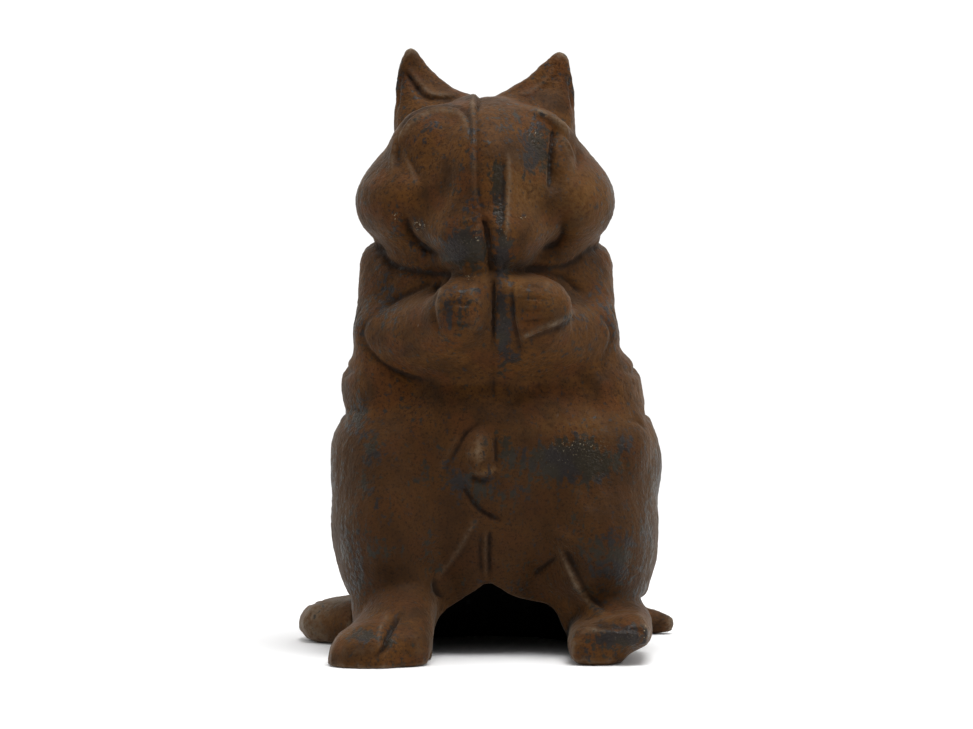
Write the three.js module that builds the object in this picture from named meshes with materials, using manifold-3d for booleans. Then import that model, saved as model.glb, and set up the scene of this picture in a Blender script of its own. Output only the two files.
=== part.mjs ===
// A cast-iron doorstop in the shape of a squirrel that sits up with its paws before its mouth.
// One hollow casting, open below and between the hind legs. The tail lies on the ground behind.
// Millimetres, +Z up, the face looks along -Y, and the origin is on the ground under the middle.

import * as THREE from "three";
import { mergeVertices } from "three/addons/utils/BufferGeometryUtils.js";
import Module from "manifold-3d";

// Driving dimensions
const FIGURE_HEIGHT = 240;
const WALL = 6;
const SEAM_WIDTH = 1.8;
const SEAM_DEPTH = 0.8;
const MOUTH_SLOT_WIDTH = 3.6;
const MOUTH_SLOT_DEPTH = 3;

// How finely the skin is faceted
const SKIN_COLUMNS = 56;
const SKIN_ROWS = [1, 19, 24, 15];
const HOLLOW_COLUMNS = 20;
const HOLLOW_ROWS = [1, 6, 6, 5];
const FRONT_CROWDING = 0.5;

// The figure's pose, proportions and carving are shares of its height: 1 is a hundredth of it.
const SHARE = FIGURE_HEIGHT / 100;
const at = (x, y, z) => new THREE.Vector3(x, y, z).multiplyScalar(SHARE);

const wasm = await Module();
wasm.setup();

// A rounded lump: how far a point is outside an oval of three radii, turned by three angles in degrees.
function oval(centre, radii, turn = [0, 0, 0]) {
  const middle = at(...centre);
  const size = at(...radii);
  const angles = turn.map(THREE.MathUtils.degToRad);
  const unturn = new THREE.Matrix4().makeRotationFromEuler(new THREE.Euler(...angles)).invert();
  const local = new THREE.Vector3();
  return (point) => {
    local.copy(point).sub(middle).applyMatrix4(unturn);
    const inRadii = Math.hypot(local.x / size.x, local.y / size.y, local.z / size.z);
    const slope = Math.hypot(local.x / size.x ** 2, local.y / size.y ** 2, local.z / size.z ** 2);
    return slope < 1e-9 ? -Math.min(size.x, size.y, size.z) : (inRadii * (inRadii - 1)) / slope;
  };
}

// A limb: a rod with round ends whose radius runs from one end to the other.
function limb(from, to, startRadius, endRadius) {
  const start = at(...from);
  const along = at(...to).sub(start);
  const offset = new THREE.Vector3();
  return (point) => {
    offset.copy(point).sub(start);
    const share = THREE.MathUtils.clamp(offset.dot(along) / along.lengthSq(), 0, 1);
    const radius = THREE.MathUtils.lerp(startRadius, endRadius, share) * SHARE;
    return offset.addScaledVector(along, -share).length() - radius;
  };
}

// A block with rounded edges, such as a foot.
function block(centre, halves, edge, turn = [0, 0, 0]) {
  const middle = at(...centre);
  const inner = at(...halves).subScalar(edge * SHARE);
  const angles = turn.map(THREE.MathUtils.degToRad);
  const unturn = new THREE.Matrix4().makeRotationFromEuler(new THREE.Euler(...angles)).invert();
  const local = new THREE.Vector3();
  return (point) => {
    local.copy(point).sub(middle).applyMatrix4(unturn);
    const past = [Math.abs(local.x) - inner.x, Math.abs(local.y) - inner.y, Math.abs(local.z) - inner.z];
    const outside = Math.hypot(...past.map((value) => Math.max(value, 0)));
    return outside + Math.min(Math.max(...past), 0) - edge * SHARE;
  };
}

// Joins two lumps with a fillet in the corner between them.
function soften(first, second, fillet) {
  const near = Math.max(fillet - Math.abs(first - second), 0) / fillet;
  return Math.min(first, second) - (near * near * fillet) / 4;
}

function joined(forms) {
  return (point) => {
    let distance = Infinity;
    for (const [form, fillet] of forms) {
      const next = form(point);
      distance = distance === Infinity ? next : soften(distance, next, fillet * SHARE);
    }
    return distance;
  };
}

// The masses of the body, from the head down. The second value is the fillet where a mass joins the rest.
const head = [
  [oval([0, -2, 78], [17.2, 16.6, 13.9]), 1],
  [oval([-12.3, -6.2, 74.3], [9.4, 12.2, 8.4]), 4],
  [oval([11.9, -6.2, 74.3], [9.4, 12.2, 8.4]), 4],
  [oval([0, -10.6, 77], [9, 13.2, 13], [-14, 0, 0]), 5],
  [oval([0, -16.6, 68.8], [9.8, 8.8, 6.4]), 3],
  [oval([0, -17, 65], [6.4, 6.2, 3.4]), 2],
  [oval([-8.9, -11, 83.8], [5.8, 5.2, 5.4]), 3],
  [oval([8.2, -11.2, 84], [5.2, 4.8, 5.2]), 3],
  [oval([-13.6, -9, 81.6], [2.6, 4.6, 4.8]), 1.5],
  [oval([13, -9.6, 82.4], [2.4, 4.4, 3.8]), 1],
];
const trunk = [
  [oval([0, 0.4, 60], [19.4, 16.6, 16]), 3],
  [oval([0, -6.2, 51.6], [19.4, 15.4, 8.8]), 3],
  [oval([0, -3.2, 33.4], [22, 17.6, 18]), 3],
  [oval([0, 2, 42], [19.2, 17, 27]), 3],
  [oval([0, 4, 9], [18.6, 17, 24]), 4],
  [oval([0, -6.8, 20], [14.4, 12.4, 14]), 5],
  [oval([-17, 11.5, 2.5], [8.6, 8, 7.5]), 3],
];
const arms = [
  [limb([-15.4, 1, 63.5], [-15.8, -7, 53.2], 5.9, 5.9), 2],
  [limb([15.3, 1, 63.5], [15.6, -7, 53.2], 5.9, 5.9), 2],
  [limb([-15.4, -8.6, 51.4], [-6.4, -19.4, 54.4], 6, 5), 3],
  [limb([15.4, -8.6, 51.4], [6.8, -19.4, 54], 6, 5), 3],
  [oval([-4.6, -21.8, 56.2], [4.8, 5, 6.2]), 1.6],
  [oval([-2.4, -20.4, 59.6], [3, 4.4, 3.6]), 1],
  [oval([7.8, -21.2, 57], [6.2, 5, 6], [0, 12, 0]), 1.6],
  [oval([1.7, -20.4, 57.2], [2.7, 4.6, 8.4]), 1.2],
];
const haunches = [
  [oval([-16.2, -3, 44], [8, 12, 7.5]), 2],
  [oval([-15.8, -4, 33], [10, 14.4, 9.6]), 3],
  [oval([-15.2, -5, 21.5], [10.6, 17.2, 17]), 4],
  [oval([17.4, -3, 43.4], [8.6, 12, 7.5]), 2],
  [oval([17.8, -4.4, 33], [10.8, 14.4, 11]), 3],
  [oval([21.6, -5, 31], [7.6, 6, 6.6]), 1.2],
  [oval([18, -5, 19.6], [10.6, 17.4, 16.4]), 4],
  [oval([-1.4, -18.4, 33.6], [3, 3, 3.6]), 1.2],
  [oval([3.4, -18.3, 34], [2.2, 2.6, 2.8]), 1],
];
const legs = [
  [limb([-14, -10, 16], [-15, -13, 0], 8, 7), 3],
  [limb([-12, -14.6, 11], [-11.8, -19, 0], 4, 3.6), 3],
  [limb([17.6, -10, 16], [18.6, -10, 0], 8, 5.2), 3],
];
const mass = joined([...head, ...trunk, ...arms, ...haunches, ...legs]);

// Lines drawn on the front of the figure, each a path of sideways and upward places. A depth below zero
// stands up as a ridge.
const carving = [
  { path: [[-1.7, 91], [-1.4, 82.4], [-0.1, 69.6], [0.6, 64.3], [0.9, 58.2], [1.2, 51.7], [1.4, 43.6],
    [1.9, 35.5], [1.2, 27.4], [-0.1, 20.7], [0.2, 11]], width: SEAM_WIDTH, depth: SEAM_DEPTH },
  { path: [[0.4, 68.8], [0.7, 65.4], [1.2, 62.2]], width: MOUTH_SLOT_WIDTH, depth: MOUTH_SLOT_DEPTH },
  { path: [[1.2, 60.5], [2.4, 55], [3.2, 51.8], [3.8, 48.4]], width: 2.2 * SHARE, depth: 0.6 * SHARE },
  { path: [[-18.5, 68.2], [-16.4, 64.9], [-14.5, 62.8], [-9.1, 62.2], [-2.7, 61.9]],
    width: 1.8 * SHARE, depth: 0.8 * SHARE },
  { path: [[2.2, 62.6], [4.4, 62.6], [12.5, 62.2], [16.7, 64.3], [19, 67.9]],
    width: 1.8 * SHARE, depth: 0.8 * SHARE },
  { path: [[-12.5, 72], [-11.7, 69.6], [-9.3, 66.9], [-6, 65.3]], width: 1.6 * SHARE, depth: 0.7 * SHARE },
  { path: [[11.7, 72], [12.5, 69.6], [11.2, 67.2], [7.8, 64.9]], width: 1.6 * SHARE, depth: 0.7 * SHARE },
  { path: [[-14.6, 85.1], [-12.6, 88.7], [-9.4, 89.7], [-5.3, 89.8], [-4, 88.7]],
    width: 1.4 * SHARE, depth: -0.6 * SHARE },
  { path: [[8.6, 89], [13, 86.3]], width: 1.4 * SHARE, depth: -0.6 * SHARE },
  { path: [[10.5, 86.3], [10.2, 82.6], [10.5, 76.2]], width: 1.6 * SHARE, depth: 0.8 * SHARE },
  { path: [[-13.8, 84.2], [-12.8, 81], [-11.9, 77.9]], width: 1.4 * SHARE, depth: 0.6 * SHARE },
  { path: [[2.8, 82.3], [2.8, 68]], width: 1.2 * SHARE, depth: -0.5 * SHARE },
  { path: [[-9, 61.6], [-13.7, 58.6], [-16.6, 56.6]], width: 2.4 * SHARE, depth: 0.4 * SHARE },
  { path: [[12.4, 61.4], [15.9, 58.8]], width: 2.4 * SHARE, depth: 0.4 * SHARE },
  { path: [[5.2, 50.5], [10, 52.4], [12.8, 55.1]], width: 1.4 * SHARE, depth: 0.7 * SHARE },
  { path: [[4.4, 57.2], [12.1, 58.2]], width: 0.9 * SHARE, depth: 0.5 * SHARE },
  { path: [[4.6, 55.3], [12.4, 56.9]], width: 0.9 * SHARE, depth: 0.5 * SHARE },
  { path: [[4.9, 53.2], [11.5, 55.3]], width: 0.9 * SHARE, depth: 0.5 * SHARE },
  { path: [[-20.3, 51.7], [-18, 49.7], [-15.6, 47.3], [-10.4, 45.2], [-3.6, 44.1], [6.2, 43.9],
    [16.1, 44.4], [18.5, 47.6], [20.1, 50.5]], width: 2.2 * SHARE, depth: 0.35 * SHARE },
  { path: [[-1.5, 37.6], [-3.6, 35.5], [-5.1, 33.1], [-6.4, 30.9]], width: 1.4 * SHARE, depth: 0.7 * SHARE },
  { path: [[-2.8, 27.6], [-0.4, 23.9], [2.3, 21.9]], width: 1.4 * SHARE, depth: 0.7 * SHARE },
  { path: [[-8, 16.7], [-8.5, 13.6], [-7.7, 9.7]], width: 1.6 * SHARE, depth: 0.8 * SHARE },
  { path: [[7.2, 13.4], [9.5, 15.7], [12.1, 16.7]], width: 1.6 * SHARE, depth: 0.7 * SHARE },
  { path: [[12.5, 19.5], [14.1, 13.9], [15.7, 11.4], [16.9, 8.2]], width: 1.4 * SHARE, depth: -0.7 * SHARE },
];

function distanceToPath(x, z, path) {
  let nearest = Infinity;
  for (let i = 1; i < path.length; i += 1) {
    const [ax, az] = path[i - 1];
    const [bx, bz] = path[i];
    const run = (bx - ax) ** 2 + (bz - az) ** 2;
    const share = THREE.MathUtils.clamp(((x - ax) * (bx - ax) + (z - az) * (bz - az)) / run, 0, 1);
    nearest = Math.min(nearest, Math.hypot(x - ax - (bx - ax) * share, z - az - (bz - az) * share));
  }
  return nearest * SHARE;
}

// The skin: the masses with the carved lines, which reach round only as far as the front does.
function skin(point) {
  const distance = mass(point);
  if (Math.abs(distance) > 4 * SHARE) return distance;
  const front = THREE.MathUtils.smoothstep(-point.y, 4 * SHARE, 12 * SHARE);
  if (front === 0) return distance;
  const x = point.x / SHARE;
  const z = point.z / SHARE;
  let cut = 0;
  for (const { path, width, depth } of carving) {
    const share = distanceToPath(x, z, path) / (width / 2);
    cut += depth * Math.exp(-share * share);
  }
  return distance + cut * front;
}

// How far along a ray from inside the body its surface lies, found from the outside inwards.
function reach(surface, origin, direction) {
  const point = new THREE.Vector3();
  const depthAt = (far) => surface(point.copy(direction).multiplyScalar(far).add(origin));
  const step = 0.4 * SHARE;
  let outside = 45 * SHARE;
  let stride = step;
  while (outside > step) {
    const clear = depthAt(outside);
    if (clear <= 0) break;
    stride = Math.max(step, clear * 0.6);
    outside -= stride;
  }
  let inside = Math.max(outside, 0);
  outside = inside + stride;
  for (let i = 0; i < 12; i += 1) {
    const middle = (inside + outside) / 2;
    if (depthAt(middle) > 0) outside = middle;
    else inside = middle;
  }
  return inside;
}

// Wraps a sphere round the body. Rows of the sphere run up the axis, with a dome of rays at each end, and
// its columns stand closer together at the front than at the back.
function wrapped(surface, columns, [below, legRows, chestRows, crown], levels) {
  const rows = below + legRows + chestRows + crown;
  const geometry = new THREE.SphereGeometry(1, columns, rows);
  const { position, uv } = geometry.attributes;
  const [floor, waist, brow] = levels.map((level) => level * SHARE);
  const axis = -1.5 * SHARE;
  const origin = new THREE.Vector3();
  const direction = new THREE.Vector3();
  for (let i = 0; i < position.count; i += 1) {
    const row = Math.round(uv.getY(i) * rows);
    const even = Math.round(uv.getX(i) * columns) / columns;
    const turn = 2 * Math.PI * even;
    const angle = turn - FRONT_CROWDING * Math.sin(turn) - Math.PI / 2;
    let height = floor;
    let rise = 0;
    if (row < below) rise = ((row - below) / below) * (Math.PI / 2);
    else if (row < below + legRows) height += ((row - below) / legRows) * (waist - floor);
    else if (row < below + legRows + chestRows)
      height = waist + ((row - below - legRows) / chestRows) * (brow - waist);
    else {
      height = brow;
      rise = ((row - below - legRows - chestRows) / crown) * (Math.PI / 2);
    }
    origin.set(0, axis, height);
    direction.set(Math.cos(angle) * Math.cos(rise), Math.sin(angle) * Math.cos(rise), Math.sin(rise));
    if (row === 0) direction.set(0, 0, -1);
    if (row === rows) direction.set(0, 0, 1);
    const far = reach(surface, origin, direction);
    position.setXYZ(i, ...direction.multiplyScalar(far).add(origin).toArray());
  }
  return geometry;
}

// Sweeps a closed oval along a curve. The section gives half its width and height at each share of the way.
function swept(curve, sides, steps, up, sectionAt) {
  const geometry = new THREE.CylinderGeometry(1, 1, 1, sides, steps);
  const { position } = geometry.attributes;
  for (let i = 0; i < position.count; i += 1) {
    const share = position.getY(i) + 0.5;
    const around = position.getX(i);
    const over = position.getZ(i);
    const { width, height } = sectionAt(share);
    const tangent = curve.getTangentAt(share);
    const sideways = new THREE.Vector3().crossVectors(tangent, up).normalize();
    const upward = new THREE.Vector3().crossVectors(sideways, tangent);
    const place = curve.getPointAt(share)
      .addScaledVector(sideways, around * width * SHARE)
      .addScaledVector(upward, over * height * SHARE);
    position.setXYZ(i, ...place.toArray());
  }
  return geometry;
}

function alongShares(stops) {
  return (share) => {
    const next = Math.max(1, stops.findIndex((stop) => stop[0] >= share));
    const [before, ...from] = stops[next - 1];
    const [after, ...to] = stops[next];
    const part = THREE.MathUtils.clamp((share - before) / (after - before), 0, 1);
    const [width, height] = from.map((value, i) => THREE.MathUtils.lerp(value, to[i], part));
    return { width, height };
  };
}

// An ear: a leaf of iron on the side of the crown, hollow in front and pointed at the top. Each level has
// its height, its middle sideways and in depth, half its width and thickness, and how deep the front is cut.
function ear(levels) {
  const geometry = new THREE.CylinderGeometry(1, 1, 1, 12, levels.length - 1);
  const { position } = geometry.attributes;
  for (let i = 0; i < position.count; i += 1) {
    const level = Math.round((position.getY(i) + 0.5) * (levels.length - 1));
    const [height, middle, depth, halfWidth, halfDepth, dish] = levels[level];
    const around = position.getX(i);
    const front = position.getZ(i);
    const cut = front > 0 ? dish * (1 - around * around) : 0;
    const place = at(middle + around * halfWidth, depth - front * halfDepth + cut, height);
    position.setXYZ(i, place.x, place.y, place.z);
  }
  return geometry;
}
const leftEar = ear([
  [80, -9, -1.6, 6.4, 6.4, 0],
  [87, -9, -1.6, 6.6, 6.2, 0],
  [90, -8.8, -1.5, 6.6, 5, 0.3],
  [92, -8.9, -1.4, 6.3, 4.2, 1],
  [93.2, -10.3, -1.2, 5, 3.7, 1.5],
  [94.9, -11.3, -1, 3.8, 3.2, 1.6],
  [96.7, -12.1, -0.8, 2.6, 2.5, 1.2],
  [98.6, -12.5, -0.6, 1.5, 1.8, 0.5],
  [99.6, -12.6, -0.5, 1, 1.3, 0.1],
  [100, -12.6, -0.5, 0.4, 0.6, 0],
]);
const rightEar = ear([
  [80, 8.6, -1.6, 6.2, 6.4, 0],
  [87, 8.4, -1.6, 6.6, 6.2, 0],
  [90, 7.7, -1.5, 7.1, 5, 0.3],
  [91.8, 7.85, -1.4, 6.95, 4.2, 0.8],
  [93, 9, -1.2, 5.7, 3.7, 1.3],
  [95, 10.6, -1, 3.8, 3.2, 1.5],
  [96.9, 11.4, -0.8, 2.6, 2.4, 1],
  [98.2, 12, -0.6, 1.7, 1.8, 0.4],
  [98.9, 12.2, -0.5, 1.1, 1.3, 0.1],
  [99.3, 12.3, -0.5, 0.4, 0.6, 0],
]);

// A foot: a rounded boot, wrapped like the body.
function foot(forms, centre) {
  const geometry = new THREE.SphereGeometry(1, 24, 14);
  geometry.rotateX(Math.PI / 2);
  const { position } = geometry.attributes;
  const surface = joined(forms);
  const origin = at(...centre);
  for (let i = 0; i < position.count; i += 1) {
    const direction = new THREE.Vector3().fromBufferAttribute(position, i).normalize();
    const far = reach(surface, origin, direction);
    position.setXYZ(i, ...direction.multiplyScalar(far).add(origin).toArray());
  }
  return geometry;
}
const leftFoot = foot([
  [block([-18.1, -22, 1.2], [6.5, 11.4, 5.6], 5.4, [0, -16, -10]), 1],
  [limb([-12.6, -14, 10], [-12.7, -27.4, 2.6], 4.6, 4.2), 2],
  [limb([-14, -15, 9.5], [-15.4, -19, 5], 5, 4.4), 3],
], [-16.4, -21.6, 2.6]);
const rightFoot = foot([
  [block([20.1, -18, 4], [6.9, 11.8, 3.2], 2.6, [0, -15, -3]), 1],
  [oval([18.2, -22.6, 1.4], [4.2, 6.8, 3.6]), 1.4],
  [limb([18.8, -12, 10], [19.8, -17, 5], 5, 4.2), 3],
], [19.6, -18, 3.4]);

// The tail: it leaves the rump, bends fat round the squirrel's right and runs on behind to its tip.
const tailCurve = new THREE.CatmullRomCurve3([
  at(-8, 13, 4),
  at(-15.6, 7.6, 4),
  at(-24, 5.8, 3.4),
  at(-25.4, 12.4, 2.8),
  at(-18, 20, 3),
  at(-5, 24.8, 3),
  at(9, 25.6, 3),
  at(21, 23.6, 2.8),
  at(32.2, 20.4, 1.6),
]);
const tail = swept(tailCurve, 14, 26, new THREE.Vector3(0, 0, 1), alongShares([
  [0, 3.6, 3.6],
  [0.14, 5.4, 4.2],
  [0.28, 6.8, 4.2],
  [0.5, 7.6, 5],
  [0.7, 7, 4.8],
  [0.86, 4.8, 3.6],
  [0.96, 2.6, 2.2],
  [1, 1.2, 1.2],
]));

// The arch between the hind legs, seen from the front and cut through the wall into the hollow.
function archCutter() {
  const outline = new THREE.Shape();
  outline.moveTo(-9.2 * SHARE, -8 * SHARE);
  outline.lineTo(-8.8 * SHARE, 1.3 * SHARE);
  outline.splineThru([[-8.6, 4.1], [-7.4, 6.9], [-4.8, 8.6], [-2, 10.6], [0.5, 12.2], [3.4, 10.1],
    [6.9, 8.9], [10.1, 8.1], [11.5, 6.8], [12.4, 4.5], [15.2, -0.6]]
    .map(([x, z]) => new THREE.Vector2(x * SHARE, z * SHARE)));
  outline.lineTo(15.4 * SHARE, -8 * SHARE);
  outline.closePath();
  const reachForward = { depth: FIGURE_HEIGHT, bevelEnabled: false, curveSegments: 2 };
  return new THREE.ExtrudeGeometry(outline, reachForward).rotateX(Math.PI / 2);
}

// The ground: everything below it is cut away, so that the feet, the rump and the tail stand flat.
function groundCutter() {
  const slab = new THREE.BoxGeometry(2 * FIGURE_HEIGHT, 2 * FIGURE_HEIGHT, FIGURE_HEIGHT);
  return slab.translate(0, 0, -FIGURE_HEIGHT / 2);
}

function solidOf(geometry) {
  const bare = geometry.clone();
  bare.deleteAttribute("normal");
  bare.deleteAttribute("uv");
  const merged = mergeVertices(bare, 1e-3);
  const kept = [];
  const index = merged.index.array;
  for (let i = 0; i < index.length; i += 3) {
    const [a, b, c] = index.slice(i, i + 3);
    if (a !== b && b !== c && c !== a) kept.push(a, b, c);
  }
  const mesh = new wasm.Mesh({
    numProp: 3,
    vertProperties: merged.attributes.position.array,
    triVerts: new Uint32Array(kept),
  });
  return new wasm.Manifold(mesh);
}

function geometryOf(solid) {
  const { vertProperties, triVerts } = solid.getMesh();
  const geometry = new THREE.BufferGeometry();
  geometry.setAttribute("position", new THREE.BufferAttribute(new Float32Array(vertProperties), 3));
  geometry.setIndex(new THREE.BufferAttribute(new Uint32Array(triVerts), 1));
  geometry.computeVertexNormals();
  return geometry;
}

const body = solidOf(wrapped(skin, SKIN_COLUMNS, SKIN_ROWS, [-2, 43, 77]));
const hollow = solidOf(wrapped((point) => mass(point) + WALL, HOLLOW_COLUMNS, HOLLOW_ROWS, [-3, 43, 72]));

const casting = [leftEar, rightEar, leftFoot, rightFoot, tail]
  .reduce((joint, form) => joint.add(solidOf(form)), body.subtract(solidOf(archCutter())))
  .subtract(hollow)
  .subtract(solidOf(groundCutter()));

const rustedIron = new THREE.MeshStandardMaterial({ color: 0x4a3022, roughness: 0.62, metalness: 0.35 });
const squirrel = new THREE.Mesh(geometryOf(casting), rustedIron);
squirrel.name = "squirrel";

const doorstop = new THREE.Group();
doorstop.add(squirrel);

export default doorstop;
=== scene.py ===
import math

import bmesh
import bpy
import numpy as np
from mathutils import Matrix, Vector


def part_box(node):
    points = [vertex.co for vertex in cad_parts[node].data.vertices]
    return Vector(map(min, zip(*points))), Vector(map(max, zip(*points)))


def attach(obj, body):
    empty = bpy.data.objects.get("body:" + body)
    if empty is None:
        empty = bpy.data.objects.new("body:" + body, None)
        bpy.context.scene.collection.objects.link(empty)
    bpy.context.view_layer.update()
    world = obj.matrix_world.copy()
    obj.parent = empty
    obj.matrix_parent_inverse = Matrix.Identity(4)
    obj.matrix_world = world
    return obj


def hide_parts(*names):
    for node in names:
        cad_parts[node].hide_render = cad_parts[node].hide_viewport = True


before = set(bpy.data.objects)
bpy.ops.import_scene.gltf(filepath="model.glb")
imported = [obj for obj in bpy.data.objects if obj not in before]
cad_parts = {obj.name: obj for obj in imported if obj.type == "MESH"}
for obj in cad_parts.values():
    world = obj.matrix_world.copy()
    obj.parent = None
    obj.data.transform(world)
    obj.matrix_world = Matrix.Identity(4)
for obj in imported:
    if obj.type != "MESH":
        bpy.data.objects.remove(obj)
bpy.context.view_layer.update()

# The view. The camera stands on the squirrel's centre line, a little above its paws, and far enough back
# that the figure is drawn almost without perspective.
CAMERA_DISTANCE = 1.4
CAMERA_HEIGHT = 0.150
CAMERA_PITCH = math.radians(1.5)
CAMERA_LENS = 129.1

view = bpy.data.cameras.new("view")
view.lens = CAMERA_LENS
camera = bpy.data.objects.new("camera", view)
camera.location = (0, -CAMERA_DISTANCE, CAMERA_HEIGHT)
camera.rotation_euler = (math.pi / 2 - CAMERA_PITCH, 0, 0)
bpy.context.scene.collection.objects.link(camera)
bpy.context.scene.camera = camera
bpy.context.scene.view_settings.view_transform = "Standard"

# The table. A white board lies just under the feet. Past its edge the white room goes on.
TABLE_REACH = 0.7
TABLE_DROP = 0.0002

board = bmesh.new()
bmesh.ops.create_grid(board, x_segments=1, y_segments=1, size=TABLE_REACH)
bmesh.ops.translate(board, verts=board.verts, vec=(0, 0, -TABLE_DROP))
table_mesh = bpy.data.meshes.new("table")
board.to_mesh(table_mesh)
board.free()
table = bpy.data.objects.new("table", table_mesh)
bpy.context.scene.collection.objects.link(table)
white_board = bpy.data.materials.new("white_board")
white_board.use_nodes = True
paint = white_board.node_tree.nodes["Principled BSDF"]
paint.inputs["Base Color"].default_value = (0.86, 0.86, 0.86, 1)
paint.inputs["Roughness"].default_value = 0.85
paint.inputs["Specular IOR Level"].default_value = 0.1
table_mesh.materials.append(white_board)

# The light. A white room above and behind the figure, darker in front of it, with one broad lamp overhead
# and two weaker ones at the sides.
ROOM_BRIGHT = 0.95
ROOM_DARK = 0.06
ROOM_AS_SEEN = 1.05
BRIGHT_WAY = (0, 0.55, 0.84)
DARK_UP_TO = -0.3  # how far along the bright way the room stays dark, and from where it is brightest
BRIGHT_FROM = 0.8
WHITE = (1, 1, 1, 1)

room = bpy.data.worlds.new("room")
room.use_nodes = True
bpy.context.scene.world = room
tree = room.node_tree
tree.nodes.clear()
seen = tree.nodes.new("ShaderNodeBackground")
seen.inputs["Strength"].default_value = ROOM_AS_SEEN
lit = tree.nodes.new("ShaderNodeBackground")
direction = tree.nodes.new("ShaderNodeTexCoord")
along = tree.nodes.new("ShaderNodeVectorMath")
along.operation = "DOT_PRODUCT"
along.inputs[1].default_value = BRIGHT_WAY
strength = tree.nodes.new("ShaderNodeMapRange")
strength.inputs["From Min"].default_value = DARK_UP_TO
strength.inputs["From Max"].default_value = BRIGHT_FROM
strength.inputs["To Min"].default_value = ROOM_DARK
strength.inputs["To Max"].default_value = ROOM_BRIGHT
tree.links.new(direction.outputs["Generated"], along.inputs[0])
tree.links.new(along.outputs["Value"], strength.inputs["Value"])
tree.links.new(strength.outputs["Result"], lit.inputs["Strength"])
seen.inputs["Color"].default_value = WHITE
lit.inputs["Color"].default_value = WHITE
rays = tree.nodes.new("ShaderNodeLightPath")
either = tree.nodes.new("ShaderNodeMixShader")
tree.links.new(rays.outputs["Is Camera Ray"], either.inputs["Fac"])
tree.links.new(lit.outputs[0], either.inputs[1])
tree.links.new(seen.outputs[0], either.inputs[2])
tree.links.new(either.outputs[0], tree.nodes.new("ShaderNodeOutputWorld").inputs["Surface"])


def soft_lamp(name, place, aim, size, power):
    lamp = bpy.data.lights.new(name, "AREA")
    lamp.shape = "DISK"
    lamp.size = size
    lamp.energy = power
    holder = bpy.data.objects.new(name, lamp)
    holder.location = place
    holder.rotation_euler = (Vector(aim) - Vector(place)).to_track_quat("-Z", "Y").to_euler()
    bpy.context.scene.collection.objects.link(holder)


soft_lamp("overhead", (0.25, -0.4, 1.5), (0, 0, 0.1), 1.0, 22)
soft_lamp("right_side", (1.4, -0.5, 0.9), (0, 0, 0.12), 0.8, 4.5)
soft_lamp("left_side", (-1.5, -0.3, 0.8), (0, 0, 0.12), 0.8, 3)

# The squirrel. One hollow casting in grey iron, poured in a sand mould whose two halves met down the middle
# of the front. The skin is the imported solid's, drawn finer and worn smooth, and the lines that the pattern
# maker cut are pressed back into it.
SKIN_PITCH = 0.0008
SKIN_TRIANGLES = 190000
BODY_SMOOTHING = 30
WHOLE_SMOOTHING = 4
FOLD_SMOOTHING = 70
WEIGHT_STEPS = 20

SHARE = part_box("squirrel")[1].z / 100  # places and widths below are hundredths of the figure's height


def changed_by(piece, kind, **settings):
    """Gives the piece one modifier and makes its result the piece's own mesh."""
    modifier = piece.modifiers.new("change", kind)
    for name, value in settings.items():
        setattr(modifier, name, value)
    shown = piece.evaluated_get(bpy.context.evaluated_depsgraph_get())
    made = bpy.data.meshes.new_from_object(shown)
    piece.modifiers.clear()
    piece.data = made


def places_of(mesh):
    places = np.empty(len(mesh.vertices) * 3, np.float32)
    mesh.vertices.foreach_get("co", places)
    return places.reshape(-1, 3).astype(float)


def outward_of(mesh):
    outward = np.empty(len(mesh.vertices) * 3, np.float32)
    mesh.vertex_normals.foreach_get("vector", outward)
    return outward.reshape(-1, 3).astype(float)


def put_places(mesh, places):
    mesh.vertices.foreach_set("co", places.astype(np.float32).ravel())
    mesh.update()


def weigh(piece, name, weights):
    """Stores a weight for each vertex as a vertex group, rounded to a few steps."""
    group = piece.vertex_groups.new(name=name)
    steps = np.round(np.clip(weights, 0, 1) * WEIGHT_STEPS).astype(int)
    for step in range(1, WEIGHT_STEPS + 1):
        group.add(np.flatnonzero(steps == step).tolist(), step / WEIGHT_STEPS, "REPLACE")


def ramp(value, start, end):
    share = np.clip((value - start) / (end - start), 0, 1)
    return share * share * (3 - 2 * share)


casting = bpy.data.objects.new("squirrel_casting", bpy.data.meshes.new("squirrel_casting"))
bpy.context.scene.collection.objects.link(casting)
skin = bmesh.new()
skin.from_mesh(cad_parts["squirrel"].data)
bmesh.ops.remove_doubles(skin, verts=skin.verts, dist=1e-6)
skin.to_mesh(casting.data)
skin.free()
changed_by(casting, "REMESH", mode="VOXEL", voxel_size=SKIN_PITCH)

places = places_of(casting.data)
height = places[:, 2] / SHARE
off_ears = 1 - ramp(height, 89, 93)
off_feet = ramp(height, 0.4, 5)
weigh(casting, "body", 0.12 + 0.88 * off_ears * off_feet)
changed_by(casting, "SMOOTH", factor=0.5, iterations=BODY_SMOOTHING, vertex_group="body")
changed_by(casting, "SMOOTH", factor=0.5, iterations=WHOLE_SMOOTHING)


def smooth_path(path):
    """Rounds a path of a few chosen points, with four short steps between each two."""
    points = np.array(path, float)
    if len(points) < 3:
        return points
    ends = np.vstack([2 * points[0] - points[1], points, 2 * points[-1] - points[-2]])
    shares = np.arange(4)[:, None] / 4
    made = []
    for before, start, end, after in zip(ends, ends[1:], ends[2:], ends[3:]):
        along = (end - before) / 2
        leaving = (after - start) / 2
        turn = 3 * (end - start) - 2 * along - leaving
        ease = 2 * (start - end) + along + leaving
        made.append(start + along * shares + turn * shares**2 + ease * shares**3)
    return np.vstack([*made, points[-1:]])


WIDEST_LINE = 1.6  # wider grooves are soft folds that get neither painted shade nor painted highlight along them
STEP_EDGE = 0.25  # how far from its path a step reaches its full height
STEP_RIM = 0.45  # how far from its path a step's upper rim gets painted highlight and its lower side painted shade


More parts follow.
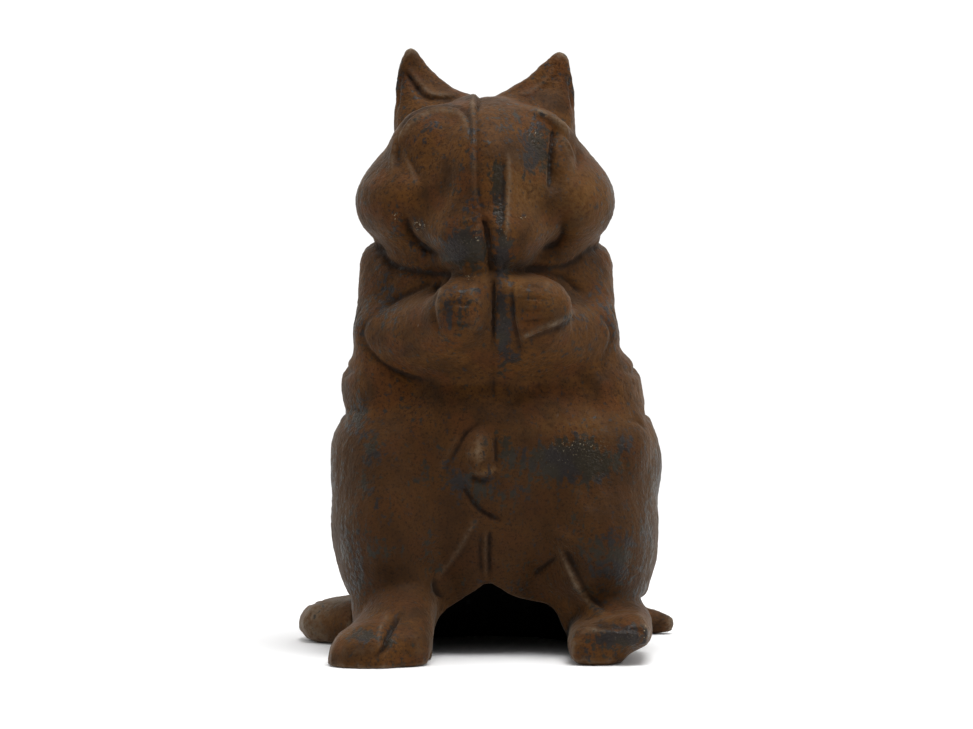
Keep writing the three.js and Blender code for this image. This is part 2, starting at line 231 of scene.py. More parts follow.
class Seen:
    """The skin as it is seen from one side, where lines and lumps are pressed into it or painted on.

    Places are sideways and upward shares: across names the axis that runs sideways, up the one that runs
    upwards, toward is the direction the seen skin faces, and past is where the view ends along it.
    """

    def __init__(self, mesh, across=0, up=2, toward=(0, -1, 0), past=0.0):
        self.places = places_of(mesh)
        self.outward = outward_of(mesh)
        self.x = self.places[:, across] / SHARE
        self.z = self.places[:, up] / SHARE
        deep = self.places @ np.array(toward) / SHARE
        self.facing = ramp(self.outward @ np.array(toward), 0.0, 0.35) * ramp(deep, past - 6, past)
        self.drawn = []

    def line(self, path, reach):
        """Which vertices lie within reach of a path, how far away, on which side and how far along it."""
        route = smooth_path(path)
        low = route.min(0) - reach
        high = route.max(0) + reach
        near = np.flatnonzero((self.facing > 0) & (self.x > low[0]) & (self.x < high[0])
                              & (self.z > low[1]) & (self.z < high[1]))
        spots = np.stack([self.x[near], self.z[near]], 1)
        nearest = np.full(len(near), np.inf)
        side = np.zeros(len(near))
        along = np.zeros(len(near))
        for i, (start, end) in enumerate(zip(route, route[1:])):
            run = end - start
            share = np.clip((spots - start) @ run / (run @ run), 0, 1)
            gap = spots - start - share[:, None] * run
            distance = np.hypot(gap[:, 0], gap[:, 1])
            closer = distance < nearest
            nearest[closer] = distance[closer]
            side[closer] = np.sign(run[0] * gap[closer, 1] - run[1] * gap[closer, 0])
            along[closer] = (i + share[closer]) / (len(route) - 1)
        kept = nearest < reach
        return near[kept], nearest[kept], side[kept], along[kept]

    def press(self, chosen, depth):
        """Moves vertices inwards by a depth in shares of the height."""
        self.places[chosen] -= self.outward[chosen] * (depth * self.facing[chosen] * SHARE)[:, None]

    def groove(self, path, width, depth, taper=0.12):
        """A pressed line that runs out softly at both ends. A depth below zero stands up as a ridge."""
        chosen, away, _, along = self.line(path, width * 1.4)
        ends = np.minimum(ramp(along, 0, taper), ramp(1 - along, 0, taper)) if taper else 1
        self.press(chosen, depth * np.exp(-((away / (width / 2)) ** 2)) * ends)
        if width < WIDEST_LINE:
            self.drawn.append((path, 0, -depth))

    def step(self, path, fade, rise, taper=0.12):
        """An edge: the skin left of the path stands up and falls away over the fade."""
        chosen, away, side, along = self.line(path, fade * 1.6)
        ends = np.minimum(ramp(along, 0, taper), ramp(1 - along, 0, taper)) if taper else 1
        past = np.clip(side * away / STEP_EDGE, -1, 1)
        self.press(chosen, -rise / 2 * (past * np.exp(-((away / fade) ** 2) * 2) * ends))
        self.drawn.append((path, STEP_RIM, rise))

    def oval(self, centre, radii, turn=0.0):
        """How far each vertex is from the middle of an oval, in its radii."""
        angle = math.radians(turn)
        right = self.x - centre[0]
        up = self.z - centre[1]
        across = (right * math.cos(angle) + up * math.sin(angle)) / radii[0]
        along = (up * math.cos(angle) - right * math.sin(angle)) / radii[1]
        return np.hypot(across, along)

    def swell(self, centre, radii, rise, turn=0.0, crisp=1.0):
        """A low dome, or a dip if its rise is below zero. A crisp above 1 softens it towards the rim."""
        away = self.oval(centre, radii, turn)
        chosen = np.flatnonzero((away < 1) & (self.facing > 0))
        self.press(chosen, -rise * (1 - away[chosen] ** 2) ** crisp)


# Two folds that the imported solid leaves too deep, filled softly
front = Seen(casting.data)
folds = np.maximum(ramp(1.6 - front.oval((12.2, 44.6), (4.4, 2.4)), 0, 1),
                   ramp(1.6 - front.oval((6.6, 63), (2.6, 1.6)), 0, 0.8))
weigh(casting, "folds", folds * (front.places[:, 1] < 0))
changed_by(casting, "SMOOTH", factor=0.5, iterations=FOLD_SMOOTHING, vertex_group="folds")
front = Seen(casting.data)

# The head: ear fold, brow mounds, eyes, snout, muzzle, mouth and chin
front.step([(-13.6, 96.6), (-12.3, 94.9), (-10.9, 93.2), (-9.6, 92.0), (-7.4, 91.6), (-4.4, 91.4)], 1.8, 0.55)
front.groove([(-12.6, 94.4), (-11.2, 92.6), (-9.8, 91.4), (-7.4, 91.0)], 0.9, 0.35, 0.3)
front.step([(4.6, 91.6), (7.6, 92.4), (10.2, 94.4), (11.8, 97)], 1.6, 0.3)
front.swell((-8.4, 84.2), (6.6, 6.2), 0.5, crisp=1.5)
front.step([(-2.9, 82), (-2.8, 85.6), (-3.4, 87.9), (-5, 89.2), (-7.6, 89.5), (-10.4, 88.8), (-12.6, 87.4),
            (-14, 85.2), (-14.4, 82.6)], 0.9, 0.6)
front.groove([(-14.4, 86.0), (-15, 83.3), (-15.4, 81.0), (-15.6, 77.6)], 0.8, -0.4, 0.3)
front.groove([(-14.2, 84.0), (-14.4, 81.4), (-14.2, 78.2)], 1.1, 0.25, 0.4)
front.groove([(-13.4, 83.4), (-13.0, 81.0), (-12.1, 78.8), (-11.4, 76.0)], 0.7, -0.3, 0.4)
front.groove([(-12.6, 83.0), (-12.0, 80.8), (-11, 78.4), (-10.2, 75.6)], 1.0, 0.2, 0.4)
front.groove([(6.6, 88.8), (8.6, 88.5), (10.8, 87.6), (12.6, 86.2), (13.2, 84.4)], 1.0, -0.65, 0.25)
front.groove([(11.0, 86.8), (10.6, 83.6), (10.3, 79.7), (10.2, 74.6)], 0.7, 0.6, 0.2)
front.swell((12.2, 81.4), (2.0, 3.8), 0.7, crisp=1.2)
front.groove([(11.7, 85.2), (13.0, 83.3), (13.9, 81.0), (13.9, 78.2)], 0.6, -0.45, 0.3)
front.groove([(14.5, 83.4), (15.0, 81), (14.8, 78.2)], 1.0, 0.3, 0.3)
front.step([(2.8, 67.4), (3.0, 73.0), (3.2, 77.8), (3.0, 82.6)], 2.6, -0.75, 0.2)
front.groove([(1.6, 82), (1.4, 76), (1.8, 69)], 2.2, 0.22, 0.3)
front.groove([(-5.1, 86.0), (-5.9, 80.8), (-6.4, 75.3), (-6.6, 71)], 2.2, 0.25, 0.4)
front.groove([(-13.2, 73.6), (-12.9, 71.0), (-12.2, 69.0), (-10.6, 67.0), (-8.2, 65.6), (-5, 64.8)],
             1.1, 0.55, 0.3)
front.groove([(-12, 71.6), (-11.4, 69.6), (-9.9, 67.8), (-7.8, 66.5)], 0.8, -0.35, 0.3)
front.groove([(11.8, 72.6), (12.4, 69.8), (12.1, 68.0), (10.4, 66.8), (6.2, 66.0)], 1.1, 0.5, 0.3)
front.groove([(-6.0, 70.3), (-4.2, 70.0), (-2.2, 70.2), (-0.9, 71.0)], 0.6, 0.15, 0.4)
front.groove([(-19.6, 70.5), (-17.7, 66.2), (-14.8, 63.6), (-9.3, 62.5), (-4.8, 62.3)], 1.2, 0.7, 0.25)
front.groove([(5, 63.2), (8.3, 63.4), (12.4, 63.6), (15.3, 65.0), (19.4, 69.0)], 1.2, 0.6, 0.25)

# The paws, held together before the mouth, and the forearms that lead to them
front.groove([(-16.8, 56.8), (-15.0, 58.2), (-11.2, 59.9), (-7.4, 61.6)], 0.9, 0.45, 0.3)
front.swell((-1.6, 56.4), (2.4, 6.2), 0.7)
front.groove([(-6.8, 62.2), (-7.9, 60.2), (-8.6, 57.4), (-8.1, 54.4), (-6.6, 52.0)], 0.9, 0.4, 0.3)
front.groove([(-6.2, 62.4), (-7.3, 60.2), (-7.8, 57.4), (-7.4, 54.6)], 0.6, -0.2, 0.3)
front.groove([(1.1, 62.4), (1.1, 58.0), (1.1, 54.5), (1.0, 50.2)], 0.6, 1.0, 0.15)
front.groove([(3.9, 61.4), (4.1, 57.8), (4.5, 54.0), (5.2, 51.0), (5.6, 48.8)], 0.7, 0.6, 0.2)
front.swell((4.4, 48.8), (1.3, 1.7), 0.3, turn=-20)
for path in [
    [(4.6, 59.9), (6.7, 60.4), (9.6, 60.2)],
    [(4.5, 58.3), (7.4, 58.5), (11.1, 57.9)],
    [(4.6, 56.5), (7.4, 56.6), (10.6, 57)],
    [(4.8, 54.7), (7.4, 54.9), (11.2, 55.6)],
    [(5.2, 53), (7.6, 53.6), (10.8, 54.6)],
    [(-6.6, 59.6), (-4.6, 60.2), (-1.6, 60)],
    [(-7, 57.4), (-4.6, 57.6), (-1.4, 57.2)],
    [(-6.6, 54.6), (-4.6, 54.4), (-1.6, 54.4)],
]:
    front.groove(path, 0.5, 0.3, 0.45)
front.step([(5.0, 51.2), (8.1, 53.0), (11.7, 54.3), (15.4, 56.6)], 1.6, 0.8, 0.2)
front.groove([(4.2, 63.2), (8.1, 62.9), (12.2, 62), (14.4, 60.3), (17.1, 58.9)], 0.9, 0.45, 0.3)

# The arms' lower edge, the belly and the lump with its creases
front.swell((12.2, 44.7), (3.6, 2), 0.9)
front.groove([(-20.5, 52.3), (-19.4, 50.2), (-17, 47.8), (-13.2, 45.9), (-9, 44.9)], 0.9, 0.45, 0.35)
front.groove([(3.9, 39.6), (4.2, 41.6), (5.6, 43.2), (9.0, 44.2), (14.5, 44.8), (18.3, 46.6)], 2.4, 0.4, 0.3)
front.groove([(-7.4, 29.6), (-6.0, 32.0), (-4.6, 34.4), (-3.4, 36.6), (-1.2, 38.2), (1.4, 38.2)],
             0.7, 0.45, 0.35)
front.groove([(-8.2, 29.8), (-6.8, 32.4), (-5.4, 34.8), (-4, 37)], 0.7, -0.1, 0.4)
front.swell((-1.1, 33.9), (2.5, 3.6), 0.6)
front.groove([(-2.6, 31.0), (-1.2, 30.1), (0.7, 30.4), (1.5, 31.8)], 0.7, -0.3, 0.3)
front.groove([(-3.2, 30), (-1.2, 29.1), (1.2, 29.4)], 0.8, 0.5, 0.3)
front.groove([(1.4, 37.2), (1.5, 33.8), (1.7, 31)], 0.6, 0.45, 0.3)
front.groove([(-5.2, 30.6), (-3.4, 27.4), (-1.2, 24.4), (1.2, 23.0), (3.4, 22.2)], 0.9, 0.6, 0.3)
front.swell((24.6, 33.4), (2.6, 4.6), 0.5)
front.groove([(22.6, 38.8), (24.8, 38.2), (26.4, 36.2)], 0.7, 0.3, 0.3)
front.groove([(-23.4, 39.9), (-21.6, 40.2), (-19.2, 39.2)], 0.8, 0.3, 0.3)
front.groove([(-0.8, 21.2), (-1.1, 17.3), (-0.7, 12.8)], 0.5, 0.5, 0.25)
front.groove([(0.5, 21.6), (0.4, 17.3), (0.5, 12.4)], 0.5, 0.6, 0.25)
front.groove([(-0.1, 21.4), (-0.2, 17.3), (0, 12.6)], 0.5, -0.2, 0.25)
front.step([(-8.2, 11.8), (-6.6, 14.1), (-4.2, 17.4), (-2.2, 21.0), (-0.6, 23.2)], 2.0, 0.3, 0.25)
front.groove([(12.3, 17.3), (10.3, 15.5), (8.6, 14.1), (7.4, 12.6)], 0.7, 0.55, 0.35)
front.step([(11.6, 19.2), (13.4, 15.4), (15.2, 12.0), (17.0, 9.3), (20.5, 7.2)], 2.4, -1.0, 0.2)
front.groove([(-8.6, 13.6), (-8.2, 10.9), (-6.6, 9.0)], 0.8, 0.6, 0.35)

# The feet
front.groove([(-13.6, 8.2), (-14.6, 6.8), (-15.8, 4.7), (-16.4, 2.9), (-18.9, 0.8)], 0.8, 0.9, 0.25)
front.groove([(-15.4, 8.4), (-16.6, 6.6), (-17.6, 4.4)], 0.7, -0.4, 0.3)
front.swell((-19.6, 5.2), (3.2, 1.2), -0.6, turn=8)
front.step([(26.2, 5.0), (22.5, 5.5), (18.9, 5.7), (16.5, 6.0), (13.9, 5.2)], 1.4, 0.7, 0.2)

# The seam, where the two halves of the mould met, with a step over the brow
front.groove([(-1.6, 91.4), (-1.6, 86.8), (-1.5, 81.0), (-1.3, 76.2), (-0.8, 72.4), (-0.1, 69.5)],
             0.45, 0.3, 0)
front.groove([(-2.2, 91.4), (-2.2, 86.8), (-2.1, 81.0), (-1.9, 76.2), (-1.3, 72.4)], 0.4, -0.22, 0)
front.step([(-2.6, 91.4), (-2.6, 86.8), (-2.5, 81.0), (-2.2, 77.2)], 2.0, 0.25, 0.2)
front.groove([(-0.5, 71.6), (0.2, 68.4), (0.9, 62.2)], 1.0, 0.8, 0.15)
front.groove([(1.1, 48.6), (1.2, 45), (1.3, 40.4)], 0.5, 0.2)
front.groove([(1.4, 29), (0.9, 25.6), (0.2, 22)], 0.5, 0.2)

put_places(casting.data, front.places)

# The crown, seen from above: the seam runs over it in a notch, and the right half lies a little lower
crown = Seen(casting.data, up=1, toward=(0, 0, 1), past=88)
crown.groove([(-1.6, -14), (-1.5, -4), (-1.2, 6)], 0.8, 0.3, 0)
crown.step([(-1.2, 8), (-1.4, -4), (-1.6, -14)], 3.6, -0.7, 0)
put_places(casting.data, crown.places)

# The back: the seam again, a shoulder fold, the rim of each haunch and long locks of fur
REAR = {"toward": (0, 1, 0)}
back = Seen(casting.data, **REAR)
back.groove([(-1.2, 91), (-1.0, 78), (-0.6, 60), (-0.4, 40), (-0.4, 20), (-0.2, 9)], 0.6, 0.3, 0)
back.groove([(-15, 69), (-9, 66.2), (0, 65), (9, 66.2), (15, 69)], 1.8, 0.6, 0.3)
for way in (-1, 1):
    back.groove([(way * 5, 10), (way * 8.5, 20), (way * 12, 30), (way * 17, 37), (way * 21, 39)],
                1.5, 1.0, 0.3)
    for row in range(5):
        low = 58 - 9 * row
        lock = [(way * (4 + row), low + 7), (way * (5 + row), low + 2), (way * (4.4 + row), low - 3)]
        back.groove(lock, 1.0, 0.45, 0.4)
        lock = [(way * (9.5 + row), low + 9), (way * (10.7 + row), low + 4), (way * (10 + row), low - 1)]
        back.groove(lock, 1.0, 0.45, 0.4)
put_places(casting.data, back.places)
sides = [(REAR, back.drawn)]

# The flanks: the round rim of the haunch, the fold behind the arm and the ear's back edge
for way in (-1, 1):
    across_it = {"across": 1, "toward": (way, 0, 0), "past": 4}
    flank = Seen(casting.data, **across_it)
    flank.groove([(-12, 37), (-5, 39.6), (3, 38.6), (9.6, 33), (12.6, 24), (12, 14)], 1.5, 0.9, 0.25)
    flank.groove([(-13, 47), (-6, 46.2), (1, 49), (5.6, 54.6), (6.4, 62)], 1.5, 0.9, 0.3)
    flank.groove([(-14, 10), (-8, 8.6), (-1, 9.6)], 1.4, 0.6, 0.3)
    flank.groove([(-8, 66), (-3, 66.8), (3, 69), (8, 73)], 1.5, 0.7, 0.3)
    flank.groove([(-1.6, 97), (-2.4, 93), (-3.2, 89)], 0.9, 0.5, 0.3)
    for lock in range(6):
        side = 11 - 4 * lock
        flank.groove([(side, 30 - lock), (side + 1.4, 25 - lock), (side + 1, 20 - lock)], 0.9, 0.4, 0.4)
        flank.groove([(side - 4, 62 - lock), (side - 3, 58 - lock), (side - 3.6, 54 - lock)], 0.9, 0.35, 0.4)
    put_places(casting.data, flank.places)
    sides.append((across_it, flank.drawn))

# The tail: combed with long strokes that follow its bend, as seen from above
brush = Seen(casting.data, up=1, toward=(0, 0, 1), past=2)
brush.facing *= ramp(8.6 - brush.places[:, 2] / SHARE, 0, 1)
for lane in range(-4, 5):
    reach = 1.35 * lane
    brush.groove([(-20 - reach, 8 - 0.3 * reach), (-24.4 - reach, 12.8),
                  (-18.6 - 0.6 * reach, 20 + 0.8 * reach), (-6, 24.6 + reach), (8, 25.2 + reach),
                  (20, 23.2 + 0.8 * reach)], 0.7, 0.3, 0.1)
put_places(casting.data, brush.places)
changed_by(casting, "SMOOTH", factor=0.35, iterations=1)


def in_hollow(seen_skin):
    """1 on the inside of the wall, 0 on the outside."""
    radial = seen_skin.places * np.array([1, 1, 0])
    reach = np.linalg.norm(radial, axis=1)
    inward = -(radial * seen_skin.outward).sum(1) / np.maximum(reach, 1e-6)
    inside = ramp(0.055 - np.hypot(radial[:, 0], radial[:, 1] + 0.004), 0, 0.008)
    return ramp(inward, 0.1, 0.5) * inside * (seen_skin.places[:, 2] < 84 * SHARE)


# The uneven skin that the sand left on the outside: long shallow waves and a fine grain
weigh(casting, "outside", 1 - in_hollow(Seen(casting.data)))
waves = bpy.data.textures.new("waves", "CLOUDS")
waves.noise_scale = 0.011
waves.noise_depth = 2
changed_by(casting, "DISPLACE", texture=waves, texture_coords="LOCAL", strength=0.0008, mid_level=0.5,
           vertex_group="outside")
grain = bpy.data.textures.new("grain", "CLOUDS")
grain.noise_scale = 0.0021
grain.noise_depth = 1
changed_by(casting, "DISPLACE", texture=grain, texture_coords="LOCAL", strength=0.0004, mid_level=0.5,
           vertex_group="outside")

triangles = 2 * len(casting.data.polygons)
changed_by(casting, "DECIMATE", ratio=min(1.0, SKIN_TRIANGLES / triangles))

low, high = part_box("squirrel")
put_places(casting.data, np.clip(places_of(casting.data), np.array(low), np.array(high)))
for polygon in casting.data.polygons:
    polygon.use_smooth = True

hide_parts("squirrel")
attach(casting, "root")

# The finish. A matt rust-brown wash lies over black iron, which shows through where the wash has worn off.
# Each entry holds a place in its view, the reach sideways and upwards, and how strongly it shows.
BARE_PLACES = [
    ((-3.9, 66.6), (3.8, 3.2), 1.5), ((2.6, 65.4), (1.4, 4), 1.3), ((2.0, 75), (1.0, 8), 0.9),
    ((-2.4, 73.4), (1.6, 4), 0.55), ((-5.0, 75.9), (1.4, 2.4), 0.5), ((-2.2, 84), (1, 4.5), 0.55),
    ((-8.7, 86.3), (1.6, 1), 0.6), ((-10.7, 87.3), (2, 0.8), 0.4), ((-10, 84), (0.8, 0.8), 0.5),
    ((8.0, 82.5), (2.8, 4.8), 1), ((3.4, 86), (3, 4), 0.4), ((10.1, 81), (0.8, 5), 0.6),
    ((11.7, 75), (2, 1.2), 0.45),
    ((-15.3, 69.1), (1.4, 1.2), 0.4), ((-10.4, 70.2), (2.2, 1.2), 0.5), ((-9, 67), (4, 1.6), 0.55),
    ((-12, 63.6), (5, 1.2), 0.4), ((-16.2, 58), (2.4, 5.4), 0.55), ((18.7, 60.9), (0.9, 3), 0.45),
    ((-5, 56.5), (3, 4), 0.6), ((-2, 59.8), (1.6, 1.2), 0.5), ((2.7, 54.3), (1.3, 7.5), 1.1),
    ((7.6, 57.4), (3.4, 2.6), 0.35), ((14.3, 55.2), (3, 1), 0.6), ((4.4, 48.8), (0.9, 1.2), 0.9),
    ((-21, 38.6), (2.4, 4.2), 0.75), ((-18.5, 33), (2.2, 4.2), 0.7), ((-19.6, 29), (1.6, 3), 0.5),
    ((-10, 31.4), (1.6, 1), 0.5), ((-7, 34.2), (1, 1), 0.55), ((-11, 29.4), (2, 1), 0.4),
    ((-0.5, 27.8), (3.6, 2.4), 0.7), ((3.8, 33.5), (2, 2.6), 0.9), ((13.5, 32.2), (8.6, 3.6), 1.3),
    ((22.4, 34.7), (2, 3.4), 0.7), ((20, 16), (4.6, 5.5), 0.75), ((26.4, 19.3), (1.4, 8), 0.5),
    ((-18.5, 17.7), (3, 5), 0.35), ((-22.9, 19.3), (1.6, 8), 0.5), ((-9.1, 18.5), (1.5, 4), 0.4),
    ((-16.3, 23), (1.5, 1), 0.55), ((-14.3, 17.7), (1.4, 1.4), 0.4), ((3, 27), (6, 2), 0.45),
    ((-19.2, 4.9), (3, 1), 1), ((-15.3, 4.7), (0.8, 1.4), 0.8), ((21.4, 4.6), (5.6, 1.8), 1.3),
    ((18, 8.3), (1.5, 1.5), 0.5), ((-4.6, 28.6), (2.6, 3.4), 0.7), ((-21, 15), (1.6, 6), 0.7),
]
BARE_BEHIND = [
    ((0, 58), (4, 13), 0.6), ((-14, 30), (5, 7), 0.6), ((14, 27), (5, 9), 0.65), ((-9, 80), (5, 4), 0.5),
    ((9, 84), (4, 4), 0.5), ((0, 20), (6, 6), 0.65), ((-13, 60), (4, 4), 0.5), ((13, 50), (4, 5), 0.5),
    ((-10, 4), (9, 2.4), 0.5), ((12, 4), (8, 2.4), 0.6), ((12, 95), (2, 3), 0.5), ((-12, 94), (2, 3), 0.5),
]
BARE_BESIDE = [
    ((-6, 28), (7, 7), 0.65), ((3, 46), (5, 5), 0.5), ((-9, 55), (5, 4), 0.55), ((-7, 76), (6, 5), 0.5),
    ((7, 84), (4, 4), 0.55), ((-14, 10), (5, 3), 0.5), ((9, 18), (3, 8), 0.6), ((6, 64), (4, 5), 0.5),
    ((-1, 94), (1.6, 3), 0.5),
]
# Rubbed wear and painted highlight: paler ochre on rubbed places and on lit upper and right-hand surfaces,
# such as the right cheek, the paw tops and the right side of the belly.
RUBBED_AND_LIT_PLACES = [
    ((6.4, 76.5), (3.4, 5), 0.7), ((16, 74.6), (4.4, 5), 0.7), ((4.4, 60.7), (2.2, 1.6), 1),
    ((8, 58.4), (4, 3), 0.35), ((-0.3, 61.2), (0.6, 2), 0.7), ((-1.4, 33.5), (1.6, 2.2), 0.6),
    ((0.3, 30.6), (2, 0.5), 0.8), ((14.3, 37.8), (9, 2.2), 0.45), ((-14.2, 85.4), (0.7, 2), 0.5),
    ((12.4, 86.6), (1.6, 1), 0.6), ((-14, 58), (3.6, 1), 0.35), ((16.7, 56.5), (3, 1.6), 0.3),
    ((27.2, 33.9), (0.8, 4), 0.5), ((-25.8, 5.5), (5, 2.6), 0.6), ((16.5, 10), (1, 2), 0.4),
]
# Painted highlights: small bright glints, as where light catches chips of bare iron.
GLINT_PLACES = [
    ((-14.5, 71.7), (0.9, 0.8), 1), ((-10.8, 70.2), (1.5, 1), 1), ((-2.7, 61.9), (0.9, 0.5), 1),
    ((5.7, 71.7), (0.9, 0.7), 1), ((2.7, 68.7), (0.5, 1.6), 0.8), ((-1.4, 68.8), (0.4, 1.2), 0.8),
    ((8.3, 85.3), (1, 0.5), 0.8), ((15, 34.8), (5.5, 1.2), 0.35), ((25.6, 5.6), (1, 1.2), 1),
]


def touched(surface, spots):
    """How strongly the places of a list show at each vertex that the view sees."""
    shown = np.zeros(len(surface.x))
    for centre, radii, strength in spots:
        away = surface.oval(centre, radii)
        shown = np.maximum(shown, strength * np.exp(-away**2 * 1.1))
    return shown * surface.facing


def along_strokes(surface, strokes):
    """Painted highlight on the strokes' ridges and upper rims, and painted shade in their grooves and below
    steps.
    """
    light = np.zeros(len(surface.x))
    dark = np.zeros(len(surface.x))
    for path, offset, rise in strokes:
        chosen, away, side, along = surface.line(path, offset + 1.2)
        ends = np.minimum(ramp(along, 0, 0.25), ramp(1 - along, 0, 0.25))
        shown = ends * min(1.0, abs(rise) / 0.6) * surface.facing[chosen]
        across = side * away * math.copysign(1, rise)
        if rise > 0 or offset:
            light[chosen] = np.maximum(light[chosen], shown * np.exp(-(((across - offset) / 0.34) ** 2)))
        if rise < 0 or offset:
            dark[chosen] = np.maximum(dark[chosen], shown * np.exp(-(((across + offset) / 0.5) ** 2)))
    return light, dark


def bend_of(mesh, passes):
    """How far each vertex lies behind the middle of its neighbours, in millimetres: above 0 in a crease."""
    count = len(mesh.vertices)
    edges = np.empty(len(mesh.edges) * 2, np.int32)
    mesh.edges.foreach_get("vertices", edges)
    one, other = edges.reshape(-1, 2).T
    number = np.bincount(one, minlength=count) + np.bincount(other, minlength=count)
    blurred = places_of(mesh)
    start = blurred.copy()
    for _ in range(passes):
        spread = [np.bincount(one, blurred[other, i], count) + np.bincount(other, blurred[one, i], count)
                  for i in range(3)]
        blurred = np.stack(spread, 1) / number[:, None]
    return ((blurred - start) * outward_of(mesh)).sum(1) * 1000


def store(mesh, name, values):
    mesh.attributes.new(name, "FLOAT", "POINT").data.foreach_set("value", values.astype(np.float32))


FINE_REACH = 12  # rounds of blurring that find thin lines, and those that find broad hollows
WIDE_REACH = 60

surface = Seen(casting.data)
bend = bend_of(casting.data, FINE_REACH)
broad = bend_of(casting.data, WIDE_REACH)
bare = touched(surface, BARE_PLACES)
# Painted highlight and painted shade along the strokes drawn from each side.
light, dark = along_strokes(surface, front.drawn)
for (settings, strokes), spots in zip(sides, (BARE_BEHIND, BARE_BESIDE, BARE_BESIDE)):
    seen_side = Seen(casting.data, **settings)
    bare = np.maximum(bare, touched(seen_side, spots))
    side_light, side_dark = along_strokes(seen_side, strokes)
    light = np.maximum(light, side_light)
    dark = np.maximum(dark, side_dark)
store(casting.data, "bare", bare)
store(casting.data, "rubbed_and_lit", touched(surface, RUBBED_AND_LIT_PLACES))
store(casting.data, "glint", touched(surface, GLINT_PLACES))
height = surface.places[:, 2] / SHARE
tail = ramp(-surface.x, 2, 22) * ramp(surface.places[:, 1], 0.004, 0.012) * ramp(9.5 - height, 0, 1)
# Painted shade: creases, broad hollows, the strokes' grooves and the lower sides of steps are painted darker.
store(casting.data, "crease", ramp(bend, 0.4, 1.3) * 0.8 + ramp(broad, 1.6, 4.5) * 0.3 + dark * 0.75)
# Ridges and the strokes' upper rims are painted lighter grey-brown, a painted highlight with some rubbed
# wear; the tail is painted grey too.
store(casting.data, "edge", np.clip(ramp(-bend, 0.7, 1.6) + 0.7 * light + tail, 0, 1))
# Painted shade: from the arms down the body is painted darker, fading out again over the feet, which face the
# light above.
store(casting.data, "low", ramp(44 - height, 0, 14) * (1 - 0.9 * ramp(12 - height, 0, 5)))
# The unpainted inside of the wall is painted near black, darker than bare iron: painted shade.
store(casting.data, "hollow", in_hollow(surface))

iron = bpy.data.materials.new("rusted_iron")
iron.use_nodes = True
nodes = iron.node_tree.nodes
links = iron.node_tree.links
place = nodes.new("ShaderNodeTexCoord").outputs["Object"]


def node(kind, out, settings=None, **inputs):
    """Adds a node, sets or links its inputs and gives one output. n0 is its first input, and so on."""
    made = nodes.new("ShaderNode" + kind)
    for name, value in (settings or {}).items():
        setattr(made, name, value)
    for name, value in inputs.items():
        socket = made.inputs[int(name[1:])] if name[0] == "n" and name[1:].isdigit() else made.inputs[name]
        if isinstance(value, bpy.types.NodeSocket):
            links.new(value, socket)
        else:
            socket.default_value = value
    return made.outputs[out]


def sum_of(first, second):
    return node("Math", 0, {"operation": "ADD"}, n0=first, n1=second)


def times(first, second):
    return node("Math", 0, {"operation": "MULTIPLY"}, n0=first, n1=second)


def between(value, low, high, start=0.0, end=1.0):
    return node("MapRange", "Result", {"interpolation_type": "SMOOTHSTEP"},
                n0=value, n1=low, n2=high, n3=start, n4=end)


def speckle(scale, detail=3.0, roughness=0.55, stretch=(1, 1, 1)):
    """Cloudy noise from 0 to 1. A stretch below 1 draws it out along that axis."""
    where = node("Mapping", 0, Vector=place, Scale=stretch) if stretch != (1, 1, 1) else place
    return node("TexNoise", "Fac", Vector=where, Scale=scale, Detail=detail, Roughness=roughness)


def painted(name):
    return node("Attribute", "Fac", {"attribute_name": name})


def mixed(share, first, second):
    return node("Mix", 2, {"data_type": "RGBA"}, n0=share, n6=first, n7=second)


BROWN = (0.083, 0.0330, 0.0072, 1)
BROWN_DEEP = (0.033, 0.0142, 0.0045, 1)
BROWN_RED = (0.080, 0.0255, 0.0062, 1)
BLACK_BROWN = (0.009, 0.005, 0.0032, 1)
IRON_BLUE = (0.0090, 0.0080, 0.0082, 1)
IRON_GREEN = (0.0125, 0.0105, 0.0058, 1)
OCHRE = (0.140, 0.065, 0.0180, 1)
GREY_EDGE = (0.155, 0.114, 0.076, 1)
GLINT_HIGHLIGHT = (0.40, 0.33, 0.22, 1)
HOLLOW_SHADE = (0.004, 0.0035, 0.003, 1)

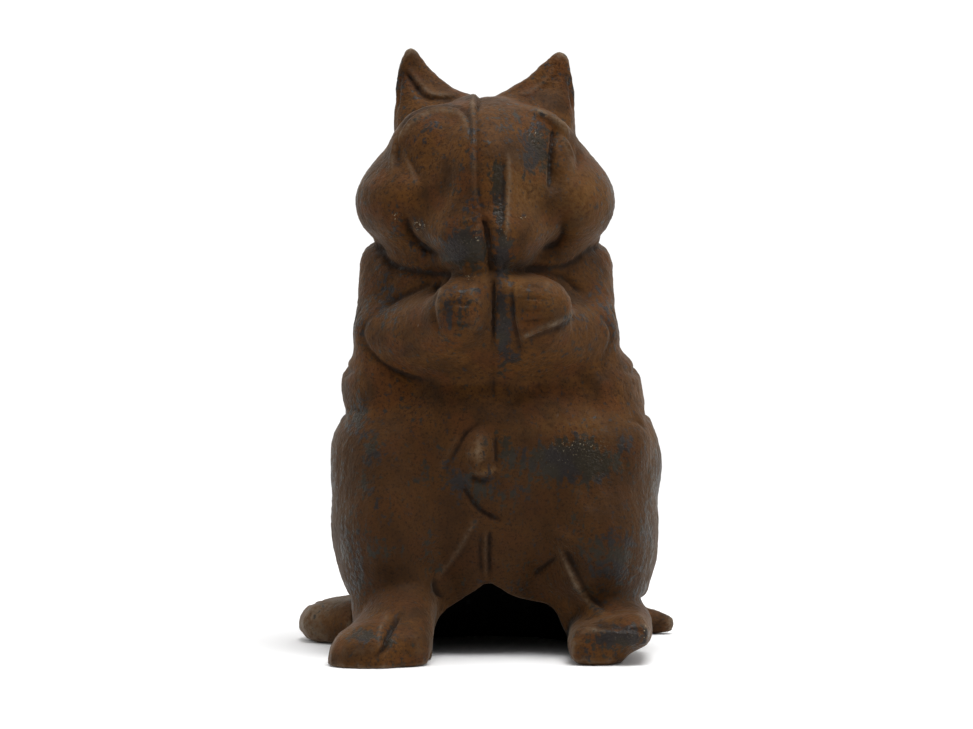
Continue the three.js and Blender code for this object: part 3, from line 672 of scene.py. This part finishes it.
patches = speckle(55.0, 4.0, 0.66)
flecks = speckle(520.0, 2.0, 0.65)
drag = speckle(420.0, 1.0, 0.6, (1, 1, 0.22))
wash = mixed(between(patches, 0.30, 0.62), BROWN_DEEP, BROWN)
wash = mixed(times(between(speckle(95.0, 1.0), 0.50, 0.66), 0.5), wash, BROWN_RED)
# Painted shade: the lower body is darkened towards deep brown.
wash = mixed(times(painted("low"), between(flecks, 0.2, 0.8, 0.9, 0.35)), wash, BROWN_DEEP)
wash = mixed(between(flecks, 0.42, 0.70, 0.0, 0.55), wash, BROWN_DEEP)
wash = mixed(between(speckle(950.0, 2.0, 0.7), 0.50, 0.72, 0.0, 0.7), wash, BLACK_BROWN)
# Rubbed wear and painted highlight: paler ochre where the list above places it.
wash = mixed(times(painted("rubbed_and_lit"), between(flecks, 0.25, 0.7)), wash, OCHRE)
# Painted highlight with some rubbed wear: grey-brown on ridges, raised rims and the tail.
wash = mixed(times(painted("edge"), between(flecks, 0.3, 0.65, 0.2, 0.75)), wash, GREY_EDGE)
black = mixed(between(speckle(110.0, 0.0), 0.40, 0.60), IRON_BLUE, IRON_GREEN)
worn = sum_of(painted("bare"), times(sum_of(patches, -0.5), 1.0))
worn = sum_of(worn, times(sum_of(flecks, -0.5), 2.4))
worn = sum_of(worn, times(sum_of(drag, -0.5), 1.4))
worn = between(worn, 0.24, 0.72)
colour = mixed(times(worn, 0.9), wash, black)
# Painted shade: creases, broad hollows and grooves are darkened towards black-brown.
colour = mixed(between(painted("crease"), 0.05, 1.0, 0.0, 0.8), colour, BLACK_BROWN)
# Painted highlights: fine glints at the listed places and, fainter, over the bare iron.
sparks = sum_of(times(painted("glint"), 0.9), times(painted("bare"), 0.22))
glint = times(between(speckle(1250.0, 1.0, 0.8), 0.62, 0.72), between(sparks, 0.1, 0.9))
colour = mixed(glint, colour, GLINT_HIGHLIGHT)
# Painted shade: the inside of the wall, painted near black.
colour = mixed(painted("hollow"), colour, HOLLOW_SHADE)

finish = nodes["Principled BSDF"]
links.new(colour, finish.inputs["Base Color"])
matt = sum_of(0.58, times(worn, -0.2))
links.new(sum_of(matt, times(sum_of(flecks, -0.5), 0.3)), finish.inputs["Roughness"])
links.new(sum_of(0.06, times(worn, 0.10)), finish.inputs["Specular IOR Level"])
finish.inputs["Sheen Weight"].default_value = 0.10
finish.inputs["Sheen Roughness"].default_value = 0.45
finish.inputs["Sheen Tint"].default_value = (0.95, 0.85, 0.7, 1)
pits = times(speckle(700.0, 2.0, 0.7), sum_of(0.8, times(painted("bare"), 0.9)))
relief = sum_of(pits, times(drag, 0.5))
links.new(node("Bump", "Normal", Height=relief, Distance=0.0005, Strength=0.8), finish.inputs["Normal"])
casting.data.materials.clear()
casting.data.materials.append(iron)
